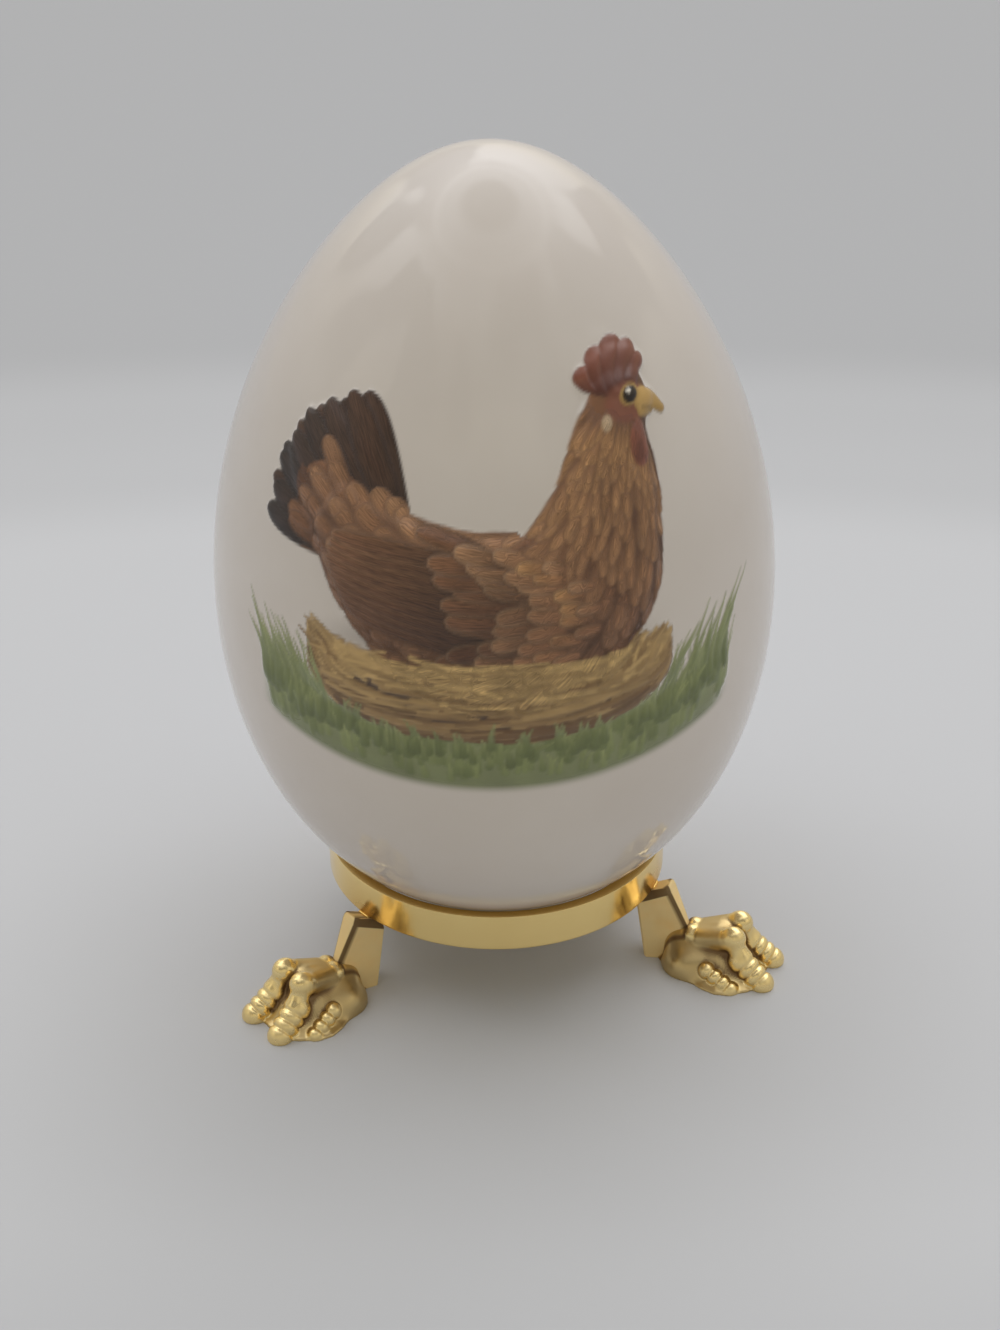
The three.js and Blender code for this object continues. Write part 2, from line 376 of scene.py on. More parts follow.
# Brazing. A bead of hard solder drawn by the torch into the corner where the band rests on each leg's top,
# then plated with the rest; its orange gold is a painted glint. It is a hair thick. Over each leg the band
# carries a painted reflection of the leg, warmer and darker, and its polish is hazier there.
BEAD_SPAN = 0.92
BEAD_RADIUS = 0.2
BEAD_IN = 0.06
BEAD_UP = 0.1
BEAD_END = 0.02
BEAD_STEPS = 24
BEAD_SIDES = 14
# The bead's orange gold, unlike the band's, is a painted glint of gold reflected in gold.
BRAZE = (0.92, 0.64, 0.22)
DEEP_BRAZE = (0.76, 0.45, 0.13)
# How far along the band, and how strongly, it is painted warmer and darker as a reflection of each leg.
REFLECTION_REACH = 4.2
REFLECTION_STRENGTH = 0.9


def bead_shape(turn):
    """A bead along the band's lower rim over one leg, round at its two ends, as points and faces."""
    points = []
    for i in range(BEAD_STEPS + 1):
        place = -math.cos(math.pi * i / BEAD_STEPS)
        size = BEAD_RADIUS * max(BEAD_END, 1 - place**6) ** 0.5
        swing = turn + BEAD_SPAN * place / RING_RADIUS
        for k in range(BEAD_SIDES):
            angle = 2 * math.pi * k / BEAD_SIDES
            out = RING_RADIUS - BEAD_IN + size * math.cos(angle)
            points.append(about_axis(swing, out, 0, LEG_TOP + BEAD_UP + size * math.sin(angle)))
    faces = loop_faces(BEAD_STEPS + 1, BEAD_SIDES)
    faces.append(tuple(range(BEAD_SIDES)))
    faces.append(tuple(BEAD_STEPS * BEAD_SIDES + k for k in range(BEAD_SIDES - 1, -1, -1)))
    return points, faces


def leg_reflection_marks():
    """How far the band is painted warmer and darker over each leg as a reflection of it, most at its lower
    rim.
    """
    marks = []
    for x, y, z in ring_points:
        turn = math.atan2(x, -y)
        gaps = [math.remainder(turn - leg, 2 * math.pi) * RING_RADIUS for leg in leg_turns.values()]
        rise = (z - RING_BASE) / (RING_TOP - RING_BASE)
        marks.append(REFLECTION_STRENGTH * (1 - rise) * max(math.exp(-((gap / REFLECTION_REACH) ** 2)) for gap in gaps))
    return marks


# Painted reflection of the legs on the band's lower rim, with a hazier polish there.
set_hollow(ring, leg_reflection_marks())
braze_finish = gilt("braze_gilt", BRAZE, DEEP_BRAZE, polish=0.2, grain=1400.0, relief=0.03)
for name in LEG_NAMES:
    add_piece(f"{name}_braze", *bead_shape(leg_turns[name]), braze_finish, "stand", "gilt")

# Paws. Cast brass feet in the form of an animal's paw: an instep that rises to two middle knuckles, four
# beaded toes with webs between them, and a flat sole that spreads from the bar. Soldered on and plated.
HEEL_GAP = 0.15
PAW_START = SHIN[0] + HEEL_GAP
PAW_GOLD = (0.98, 0.77, 0.37)
# The paws' deep tone, painted in their hollows as shade.
HOLLOW_TONE = (0.25, 0.16, 0.08)
CAST_LOW = (-4.6, -7.0, -0.3)
CAST_HIGH = (11.8, 7.0, 7.4)
CAST_STEP = 0.12
NUDGE = 0.01
FLESH_SHADE_AND_DULL = 0.46
SOLE_EDGE = (
    (-4.1, 0.0), (-3.9, 1.1), (-1.6, 2.8), (0.8, 4.5), (3.1, 5.8), (4.9, 6.3), (6.6, 5.95), (7.5, 5.2),
    (8.5, 4.5), (9.4, 3.4), (9.7, 0.0),
)
SOLE_RIM = 0.32
SOLE_RISE = 0.52
SOLE_ROUND = 0.2
PAD = ((3.3, 0, 0), (5.2, 4.6, 4.0))
HEEL = ((0.6, 1.5, 0.3), (3.4, 3.4, 3.2))
ANKLE_KNOB = ((0.5, 0.8, 4.3), (1.1, 1.3, 0.95))
INSTEP = ((-0.6, 0, 2.2), (4.0, 0, 3.65), 2.4, 2.35)
SINEW = ((1.8, 1.25, 4.2), (5.4, 1.75, 5.1), 1.1, 1.35)
KNUCKLE = ((5.8, 1.75, 5.35), (1.55, 1.42, 1.5))
TOE_BEND = ((6.2, 1.9, 4.4), (7.2, 2.2, 2.9), 1.15, 1.25)
LONG_TOE = ((7.0, 2.15, 2.6), (9.75, 2.6, 0.4), 1.62, 1.52, 3.0, 0.26)
SIDE_TOE = ((3.4, 4.3, 1.8), (6.5, 4.95, 0.25), 1.0, 0.95, 3.0, 0.25)
WEB = 0.25
SEAM_WIDTH = 0.4
SEAM_AHEAD = 0.2
HOLLOW_CELLS = 5
HOLLOW_ROUNDS = 3
HOLLOW_REACH = 1.2
HOLLOW_DEPTH = 0.12
HOLLOW_FROM = 0.1
SETTLE_ROUNDS = 3
LEAST_SLOPE = 0.3
TOE_CLEAR = 0.4
SOLE_SKIN = 0.02


def grid_over(low, high, step):
    """Three arrays of places on a grid over a box."""
    lines = [np.arange(a, b + step, step) for a, b in zip(low, high)]
    return np.meshgrid(*lines, indexing="ij", sparse=True)


def outside(edge, x, y):
    """Distances from a closed outline in plan, negative inside it."""
    best = np.full(np.broadcast(x, y).shape, np.inf)
    within = np.zeros(best.shape, bool)
    for (ax, ay), (bx, by) in zip(edge, edge[1:] + edge[:1]):
        ex, ey = bx - ax, by - ay
        t = np.clip(((x - ax) * ex + (y - ay) * ey) / (ex * ex + ey * ey), 0, 1)
        best = np.minimum(best, np.hypot(x - ax - t * ex, y - ay - t * ey))
        crossing = (ay > y) != (by > y)
        side = (x - ax) * ey - (y - ay) * ex
        within ^= crossing & ((side < 0) == (ey > 0))
    return np.where(within, -best, best)


def oval_mass(at, centre, radii):
    """Distances from an egg-shaped mass."""
    away = [a - c for a, c in zip(at, centre)]
    near = np.sqrt(sum((d / r) ** 2 for d, r in zip(away, radii)))
    slope = np.sqrt(sum((d / r**2) ** 2 for d, r in zip(away, radii)))
    return near * (near - 1) / np.maximum(slope, 1e-6)


def finger(at, start, end, thick, thin, beads=0, depth=0.0):
    """Distances from a round finger, perhaps with beads along it."""
    run = np.subtract(end, start)
    away = [a - s for a, s in zip(at, start)]
    share = np.clip(sum(d * e for d, e in zip(away, run)) / (run @ run), 0, 1)
    reach = np.sqrt(sum((d - share * e) ** 2 for d, e in zip(away, run)))
    groove = (1 - np.abs(np.cos(math.pi * beads * (1 - share)))) ** 1.4
    return reach - (between(thick, thin, share) - depth * groove)


def blended(first, second, width):
    """Two masses run together with a fillet of a given width."""
    share = np.clip(0.5 + 0.5 * (second - first) / width, 0, 1)
    return between(second, first, share) - width * share * (1 - share)


def paw_masses(x, y, z):
    """Distances from the paw's plain flesh and from its toes. X runs out from the bar, Y across and Z up."""
    at = (x, np.abs(y), z)
    edge = SOLE_EDGE + tuple((a, -b) for a, b in SOLE_EDGE[-2:0:-1])
    plan = outside(edge, x, y) + SOLE_ROUND
    rise = (z - SOLE_RIM + SOLE_RISE * plan) / math.hypot(1, SOLE_RISE) + SOLE_ROUND
    beyond = np.hypot(np.maximum(plan, 0), np.maximum(rise, 0))
    flesh = beyond + np.minimum(np.maximum(plan, rise), 0) - SOLE_ROUND
    for mass, fillet in (
        (oval_mass(at, *PAD), 1.0),
        (oval_mass(at, *HEEL), 0.8),
        (finger(at, *INSTEP), 0.9),
        (finger(at, *SINEW), 0.6),
    ):
        flesh = blended(flesh, mass, fillet)
    toes = blended(finger(at, *TOE_BEND), oval_mass(at, *KNUCKLE), 0.3)
    toes = blended(toes, finger(at, *LONG_TOE), 0.25)
    toes = np.minimum(toes, finger(at, *SIDE_TOE))
    toes = np.minimum(toes, oval_mass(at, *ANKLE_KNOB))
    return flesh, toes


def paw_field(x, y, z):
    """Distances from the whole paw's skin, cut off flat at the table."""
    return np.maximum(blended(*paw_masses(x, y, z), WEB), -z)


def skin(field, low, step):
    """Points and faces of the skin where a field passes zero, one point in each cell that it crosses."""
    cells = tuple(n - 1 for n in field.shape)
    corner = {
        (i, j, k): field[i : i + cells[0], j : j + cells[1], k : k + cells[2]]
        for i, j, k in np.ndindex(2, 2, 2)
    }
    total = np.zeros((*cells, 3))
    hits = np.zeros(cells)
    for axis, a, b in np.ndindex(3, 2, 2):
        start, end = [a, b], [a, b]
        start.insert(axis, 0)
        end.insert(axis, 1)
        first, last = corner[tuple(start)], corner[tuple(end)]
        crossed = (first < 0) != (last < 0)
        spot = np.zeros((*cells, 3)) + start
        spot[..., axis] = np.divide(first, first - last, out=np.zeros(cells), where=crossed)
        total += spot * crossed[..., None]
        hits += crossed
    used = np.argwhere(hits > 0)
    index = np.full(cells, -1)
    index[tuple(used.T)] = np.arange(len(used))
    points = (used + total[tuple(used.T)] / hits[tuple(used.T)][:, None]) * step + low
    faces = []
    inside = field < 0
    for axis in range(3):
        near = np.moveaxis(inside, axis, 0)
        turned_index = np.moveaxis(index, axis, 0)
        for i, j, k in np.argwhere(near[:-1, 1:-1, 1:-1] != near[1:, 1:-1, 1:-1]):
            quad = [turned_index[i, j + a, k + b] for a, b in ((0, 0), (1, 0), (1, 1), (0, 1))]
            forward = near[i, j + 1, k + 1] == (axis != 1)
            faces.append(quad if forward else quad[::-1])
    return points, faces, used


def paw_shape():
    """The cast paw as points, faces and how far each point is darkened: painted shade in its hollows and on
    its flesh, and a band where the bar stands on it.
    """
    field = paw_field(*grid_over(CAST_LOW, CAST_HIGH, CAST_STEP))
    points, faces, used = skin(field, CAST_LOW, CAST_STEP)
    for _ in range(SETTLE_ROUNDS):
        here = paw_field(*points.T)
        rises = [paw_field(*(points + nudge).T) - here for nudge in np.eye(3) * NUDGE]
        slope = np.stack(rises, axis=-1) / NUDGE
        steep = np.maximum((slope**2).sum(axis=-1, keepdims=True), LEAST_SLOPE)
        points = points - np.clip(here[:, None] * slope / steep, -CAST_STEP, CAST_STEP)
    # Hollows, found as points that lie deeper than their blurred surroundings, are painted dark as shade.
    close = np.clip(field, -HOLLOW_REACH, HOLLOW_REACH)
    around_it = close
    cells = range(-HOLLOW_CELLS, HOLLOW_CELLS + 1)
    for _ in range(HOLLOW_ROUNDS):
        for axis in range(3):
            around_it = sum(np.roll(around_it, cell, axis) for cell in cells) / len(cells)
    depth = np.clip((close - around_it)[tuple(used.T)] / HOLLOW_DEPTH - HOLLOW_FROM, 0, 1)
    # The flesh away from the toes is painted darker as shade, with a duller polish.
    plain = np.clip(paw_masses(*points.T)[1] / TOE_CLEAR, 0, 1)
    depth = np.maximum(depth, FLESH_SHADE_AND_DULL * plain)
    out, side = points[:, 0], np.abs(points[:, 1])
    # A darker band where the bar stands on the paw; the sole on the table is left bright.
    beside_bar = np.exp(-(((side - LEG_HALF) / SEAM_WIDTH) ** 2)) * (out < 0)
    before_bar = np.exp(-(((out + SEAM_AHEAD) / SEAM_WIDTH) ** 2)) * (side < LEG_HALF)
    on_table = points[:, 2] < SOLE_SKIN
    depth = np.where(on_table, 0, np.maximum(depth, np.maximum(beside_bar, before_bar)))
    return points, faces, depth


paw_finish = gilt("paw_gilt", PAW_GOLD, HOLLOW_TONE, polish=0.26, grain=1100.0, relief=0.02)
paw_points, paw_faces, paw_depth = paw_shape()
for name in LEG_NAMES:
    placed = [about_axis(leg_turns[name], PAW_START + x, y, z) for x, y, z in paw_points]
    paw = add_piece(f"{name}_paw_cast", placed, paw_faces, paw_finish, "stand", "gilt", [f"{name}_paw"])
    set_hollow(paw, paw_depth)

# Egg. A slip-cast hollow shell of white porcelain with a drain hole in its blunt end, its picture moulded
# in low relief, painted by brush and fired under a clear gloss glaze. It lies loose in the ring.
EGG_HEIGHT = 90.5
EGG_LEAN = math.radians(0.8)
LEAN_CENTRE = 29.4
TIP_OVER = 0.5
EGG_RADIUS = 32.0
EGG_TAPER = 0.113
EGG_FULLNESS = -0.036
EGG_POINT = 0.061
SHELL_WALL = 3.0
VENT_RADIUS = 3.0
INNER_ROWS = 12
SIDE_STEPS = 4000
PICTURE_LOW = -13.0
PICTURE_HIGH = 42.0
PICTURE_TURN = math.radians(60)
FINE = 0.25
COARSE = 1.7
COARSE_TURN = math.radians(4.2)
GROWTH = 1.3
PAINTER_SEED = 11
PORCELAIN = ((0.32, (0.66, 0.612, 0.595)), (0.7, (0.695, 0.655, 0.643)))
MOTTLE_SCALE = 46.0
MOTTLE_ROUGH = 0.03
POOL_SCALE = 330.0
STREAK_SCALE = (0.55, 5.5, 1.0)
GLAZE_ROUGH = (0.035, 0.28)
RIPPLE_SCALE = 75.0
RIPPLE_DEPTH = 0.12
BRISTLE_DEPTH = 0.05

shell_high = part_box("egg_shell")[1]
egg_base = shell_high.z / MM + TIP_OVER - EGG_HEIGHT


def egg_outline(radius, height):
    """Radii, heights and lengths along the egg's side, from the middle of its base to its tip."""
    angle = np.linspace(0, math.pi, SIDE_STEPS)
    c = np.cos(angle)
    shape = np.sin(angle) * (1 + EGG_TAPER * c + EGG_FULLNESS * c**2 + EGG_POINT * c**3)
    r = radius * shape / shape.max()
    z = height * (1 - c) / 2
    length = np.concatenate([[0], np.cumsum(np.hypot(np.diff(r), np.diff(z)))])
    return r, z, length


def spaced(low, fine_low, fine_high, high, fine, coarse):
    """Stations that lie close together in the middle stretch and grow apart towards both ends."""
    def outward(start, end):
        steps = []
        gap = fine
        while sum(steps) < abs(end - start):
            gap = min(coarse, gap * GROWTH)
            steps.append(gap)
        return start + (end - start) * np.cumsum(steps) / sum(steps)

    middle = np.linspace(fine_low, fine_high, int((fine_high - fine_low) / fine) + 1)
    return np.concatenate([outward(fine_low, low)[::-1], middle, outward(fine_high, high)])


side_r, side_z, side_length = egg_outline(EGG_RADIUS, EGG_HEIGHT)
belt = side_length[side_r.argmax()]
vent_start = np.interp(VENT_RADIUS, side_r[: side_r.argmax()], side_length[: side_r.argmax()])
picture_low, picture_high = belt + PICTURE_LOW, belt + PICTURE_HIGH
row_lengths = spaced(vent_start, picture_low, picture_high, side_length[-1], FINE, COARSE)
column_turns = spaced(-math.pi, -PICTURE_TURN, PICTURE_TURN, math.pi, FINE / EGG_RADIUS, COARSE_TURN)[:-1]
row_r = np.interp(row_lengths, side_length, side_r)
row_z = np.interp(row_lengths, side_length, side_z)
in_rows = np.flatnonzero((row_lengths >= picture_low) & (row_lengths <= picture_high))
in_columns = np.flatnonzero(np.abs(column_turns) <= PICTURE_TURN)

# The picture is laid out on the egg's skin: across to the right and up from the belt, in millimetres.
across = column_turns[in_columns][None, :] * row_r[in_rows][:, None]
upward = np.repeat((row_lengths[in_rows] - belt)[:, None], len(in_columns), axis=1)
ink = np.zeros((*across.shape, 3))
cover = np.zeros(across.shape)
form = np.zeros(across.shape)
grain = np.zeros(across.shape)
brush = np.zeros((*across.shape, 3))
keep = np.ones(across.shape)
hand = np.random.default_rng(PAINTER_SEED)
SOFT = 0.32
FEATHER_SHIFT = 7
EVERYWHERE = (slice(None), slice(None))


def tone(red, green, blue):
    """A paint colour from its sRGB values."""
    share = np.array((red, green, blue)) / 255
    return np.where(share <= 0.04045, share / 12.92, ((share + 0.055) / 1.055) ** 2.4)


def eased(value):
    """A smooth step from 0 to 1."""
    share = np.clip(value, 0, 1)
    return share * share * (3 - 2 * share)


def around(points, margin):
    """The part of the picture that lies within a margin of some points."""
    low, high = np.min(points, axis=0) - margin, np.max(points, axis=0) + margin
    rows = np.flatnonzero((upward[:, 0] >= low[1]) & (upward[:, 0] <= high[1]))
    near = ((across[rows] >= low[0]) & (across[rows] <= high[0])).any(axis=0)
    columns = np.flatnonzero(near)
    if not len(columns):
        return slice(0, 0), slice(0, 0)
    return slice(rows[0], rows[-1] + 1), slice(columns[0], columns[-1] + 1)


def lay(where, mask, paint):
    """Brushes paint over part of the picture as far as a mask covers it."""
    under = cover[where] * (1 - mask)
    total = mask + under
    share = np.divide(mask, total, out=np.zeros_like(mask), where=total > 1e-6)[..., None]
    ink[where] += (paint - ink[where]) * share
    cover[where] = total


def curve(points, count):
    """Points along a smooth line through the given ones."""
    given = np.array(points, float)
    held = np.vstack([2 * given[0] - given[1], given, 2 * given[-1] - given[-2]])
    line = []
    for place in np.linspace(0, len(given) - 1, count):
        i = min(int(place), len(given) - 2)
        t = place - i
        a, b, c, d = held[i : i + 4]
        bend = 2 * a - 5 * b + 4 * c - d
        sweep = 3 * b - a - 3 * c + d
        line.append(b + (c - a) * t / 2 + bend * t**2 / 2 + sweep * t**3 / 2)
    return np.array(line)


def beside(line, where):
    """For part of the picture, the share of a line passed, and the distance to the line's left."""
    best = np.full(across[where].shape, np.inf)
    along, left = np.zeros_like(best), np.zeros_like(best)
    steps = np.diff(line, axis=0)
    for i, (start, step) in enumerate(zip(line, steps)):
        du, dv = across[where] - start[0], upward[where] - start[1]
        t = np.clip((du * step[0] + dv * step[1]) / (step @ step), 0, 1)
        gap = np.hypot(du - t * step[0], dv - t * step[1])
        near = gap < best
        best = np.where(near, gap, best)
        along = np.where(near, (i + t) / len(steps), along)
        left = np.where(near, np.sign(step[0] * dv - step[1] * du) * gap, left)
    return along, left


def stroke(points, width, paints, lift, taper=0.0, opacity=1.0):
    """One stroke of the brush through some points, shading from its first paint to its last."""
    line = curve(points, 9)
    where = around(line, width)
    along, left = beside(line, where)
    half = width / 2 * (1 - taper * along)
    mask = opacity * eased((half - np.abs(left)) / SOFT + 0.5)
    crown = np.sqrt(np.clip(1 - (left / np.maximum(half, 0.05)) ** 2, 0, 1))
    paint = between(*paints, along[..., None])
    lay(where, mask, paint * (0.82 + 0.18 * crown)[..., None])
    grain[where] += (lift * crown - grain[where]) * mask


def plume(root, heading, length, width, paints, lift, opacity=1.0, lace=None):
    """One feather from its root: darker there, with a pale shaft, a round tip and perhaps a laced edge."""
    ahead = np.array((math.cos(heading), math.sin(heading)))
    where = around([root, root + ahead * length], width)
    du, dv = across[where] - root[0], upward[where] - root[1]
    along = (du * ahead[0] + dv * ahead[1]) / length
    left = dv * ahead[0] - du * ahead[1]
    share = np.clip(along, 0, 1)
    half = width / 2 * (0.45 + 0.55 * share**0.6) * np.sqrt(np.clip(1 - share**5, 0, 1))
    inside = np.minimum(half - np.abs(left), length * np.minimum(along, 1 - along))
    mask = opacity * eased(inside / SOFT + 0.5) * keep[where]
    crown = np.clip(1 - (left / np.maximum(half, 0.05)) ** 2, 0, 1)
    shaft = np.exp(-((left / 0.16) ** 2)) * (1 - share)
    rim = eased(1 - inside / 0.55) * share
    paint = between(*paints, share[..., None])
    if lace is not None:
        paint = between(paint, lace, (0.75 * rim)[..., None])
    paint = paint * (0.78 + 0.26 * crown + 0.16 * shaft - 0.1 * rim)[..., None]
    lay(where, mask, paint)
    height = lift * (0.25 + 0.75 * share) * np.sqrt(crown)
    grain[where] += (height - grain[where]) * mask
    drawn = np.stack([du * ahead[0] + dv * ahead[1], left + FEATHER_SHIFT * root[0], 0 * left], axis=-1)
    brush[where] += (drawn - brush[where]) * mask[..., None]


def in_oval(centre, radii, tilt, where=EVERYWHERE):
    """Places across and up an oval that may be tilted, as shares of its two radii."""
    du, dv = across[where] - centre[0], upward[where] - centre[1]
    sine, cosine = math.sin(tilt), math.cos(tilt)
    return (du * cosine + dv * sine) / radii[0], (dv * cosine - du * sine) / radii[1]


def swell(centre, radii, height, tilt=0.0, power=0.5):
    """Raises a round mass out of the egg's skin."""
    x, y = in_oval(centre, radii, tilt)
    np.maximum(form, height * np.clip(1 - x * x - y * y, 0, 1) ** power, out=form)


def oval(centre, radii, paint, tilt=0.0, opacity=1.0, soft=SOFT, lift=None):
    """A round patch of paint."""
    where = around([centre], max(radii) + soft)
    x, y = in_oval(centre, radii, tilt, where)
    inside = (1 - np.hypot(x, y)) * min(radii)
    mask = opacity * eased(inside / soft + 0.5)
    lay(where, mask, paint)
    if lift is not None:
        dome = lift * np.sqrt(np.clip(1 - x * x - y * y, 0, 1))
        grain[where] += (dome - grain[where]) * mask


GRASS_SHADE = tone(112, 123, 80)
GRASS = tone(136, 147, 98)
GRASS_LIGHT = tone(160, 168, 118)
BROWN = tone(138, 98, 72)
BROWN_LIGHT = tone(172, 132, 100)
BROWN_DARK = tone(92, 62, 45)
UMBER = tone(62, 44, 35)
CHARCOAL = tone(52, 46, 46)
HACKLE = tone(186, 142, 96)
RUSSET = tone(132, 80, 64)
RUSSET_DARK = tone(94, 54, 44)
BEAK = tone(196, 160, 98)
STRAW = tone(196, 166, 116)
STRAW_DARK = tone(112, 84, 56)
STRAW_SHADE = tone(74, 54, 40)
WHITE = tone(236, 230, 222)
CREAM = tone(206, 184, 156)

TURF_HALF = 29
TURF_TOP = -1.5
TURF_FOOT = -9.8
TURF_LIFT = 0.22
TURF_BLADES = 260
BLADE_REACH = 28


def meadow():
    """A soft strip of turf with blades that stand up at its two ends."""
    along = across / TURF_HALF
    top = TURF_TOP + 3.4 * along**2
    low = TURF_FOOT + 5.2 * along**2
    inside = np.minimum(top - upward, upward - low)
    mask = 0.92 * eased(inside / 1.5 + 0.35) * eased((1 - np.abs(along)) * 8)
    depth = np.clip((upward - low) / (top - low), 0, 1)
    lay(EVERYWHERE, mask, between(GRASS_SHADE, GRASS, depth[..., None]))
    np.maximum(form, TURF_LIFT * eased(inside / 2.2), out=form)
    for u in hand.uniform(-BLADE_REACH, BLADE_REACH, TURF_BLADES):
        share = abs(u) / BLADE_REACH
        base = np.array((u, hand.uniform(-8.6, -3) + 4.6 * share**2))
        height = hand.uniform(1.6, 3.4) + 4.2 * share**3 * hand.uniform(0.3, 1.2)
        bend = u / BLADE_REACH * height * 0.3 + hand.normal(0, 0.5)
        tip = base + (bend, height)
        middle = base + (bend * 0.3, height * 0.55)
        shade = hand.uniform(0, 1)
        paints = between(GRASS_SHADE, GRASS, shade), between(GRASS, GRASS_LIGHT, shade)
        stroke([base, middle, tip], hand.uniform(0.6, 1.1), paints, 0.1, 0.85, 0.85)


HEAD_CENTRE = (13.2, 30.6)
BODY_POINTS = [(-17, 20.5), (-10, 15), (-1, 11.8), (7, 13.6), (10.6, 20.5), (12, 27), HEAD_CENTRE]
BODY_LINE = curve(BODY_POINTS, 70)
BODY_MARKS = (0, 0.17, 0.36, 0.55, 0.72, 0.88, 1)
BODY_ABOVE = (3.6, 6.0, 7.4, 6.2, 4.4, 3.6, 3.4)
BODY_BELOW = (4.2, 8.6, 11.2, 10.6, 7.0, 4.6, 3.6)
BODY_LENGTH = 46.0
BODY_LIFT = 1.15
HEAD_ROUND = 3.4
NECK_FROM = 0.58
NECK_PLUME = (6.4, 2.1)
BACK_PLUME = (4.8, 2.9)


def body_width(share, values):
    """How far the bird's outline stands from the line of its back, with its steps smoothed."""
    fine = np.linspace(0, 1, 101)
    plain = np.interp(fine, BODY_MARKS, values)
    smooth = np.convolve(np.pad(plain, 6, mode="edge"), np.ones(13) / 13, mode="valid")
    return np.interp(share, fine, smooth)


def tail():
    """A fan of dark sickle feathers behind the back."""
    for share in np.concatenate([np.linspace(0, 1, 7), np.linspace(0.12, 0.9, 6)]):
        heading = math.radians(172 - 66 * share)
        root = np.array((-12.5 + 3.4 * share, 15.5 + 4.4 * share))
        length = 14.5 - 4.5 * (share - 0.35) ** 2 + hand.uniform(-0.6, 0.6)
        paints = (UMBER, between(CHARCOAL, BROWN_DARK, hand.uniform(0, 0.7)))
        plume(root, heading, length, 4.3, paints, 0.2)
    swell((-16, 22), (10, 5.6), 0.55, math.radians(128))


def body():
    """The body's rounded mass, laid in with a wash and then feathered from the tail to the head."""
    before = cover.copy()
    share, side = beside(BODY_LINE, EVERYWHERE)
    above, below = body_width(share, BODY_ABOVE), body_width(share, BODY_BELOW)
    limit = np.where(side > 0, above, below)
    inside = limit - np.abs(side)
    crown = HEAD_ROUND - np.hypot(across - HEAD_CENTRE[0], upward - HEAD_CENTRE[1])
    inside = np.minimum(inside, np.where(share >= 1, crown, inside))
    mask = eased(inside / SOFT + 0.5)
    light = np.clip(0.5 + 0.5 * side / limit, 0, 1)[..., None]
    lay(EVERYWHERE, mask, between(BROWN_DARK, BROWN, light))
    dome = BODY_LIFT * np.clip(1 - (side / limit) ** 2, 0, 1) ** 0.5 * eased(inside / 1.2)
    np.maximum(form, np.where(share > 0, dome, 0), out=form)
    keep[:] = np.maximum(eased(inside / 0.5 + 0.9), before)
    row = 0.02
    while row < 0.93:
        size = np.interp(row, (0, 0.5, 0.75, 1), (1.0, 0.92, 0.62, 0.4))
        long, slim = NECK_PLUME if row > NECK_FROM else BACK_PLUME
        i = min(int(row * (len(BODY_LINE) - 1)), len(BODY_LINE) - 2)
        spot, ahead = BODY_LINE[i], BODY_LINE[i + 1] - BODY_LINE[i]
        ahead = ahead / np.hypot(*ahead)
        left = np.array((-ahead[1], ahead[0]))
        above, below = body_width(row, BODY_ABOVE), body_width(row, BODY_BELOW)
        shift = hand.uniform(0, 1)
        for d in np.arange(-below + 0.6 + shift * 1.6 * size, above - 0.4, 0.72 * slim * size):
            limit = above if d > 0 else below
            fan = 0.5 * d / limit
            heading = math.atan2(-ahead[1], -ahead[0]) - fan + hand.normal(0, 0.1)
            light = np.clip(0.5 + 0.42 * d / limit + hand.normal(0, 0.16), 0, 1)
            root = spot + left * d + ahead * hand.normal(0, 0.4)
            first = between(BROWN_DARK, BROWN, light)
            last = between(BROWN, BROWN_LIGHT, light)
            if row > NECK_FROM:
                last = last + (HACKLE - last) * min(1.0, (row - 0.5) * 2.2) * 0.75
            reach = long * size * hand.uniform(0.85, 1.15)
            plume(root, heading, reach, slim * size, (first, last), 0.14 * size, 0.85)
        row += 1.75 * size / BODY_LENGTH
    keep[:] = 1
    oval((4.5, 11.0), (6.5, 3.2), UMBER, math.radians(-20), 0.2, 3.0)
    oval((-1.0, 6.8), (14.5, 2.4), UMBER, 0.0, 0.45, 2.4)


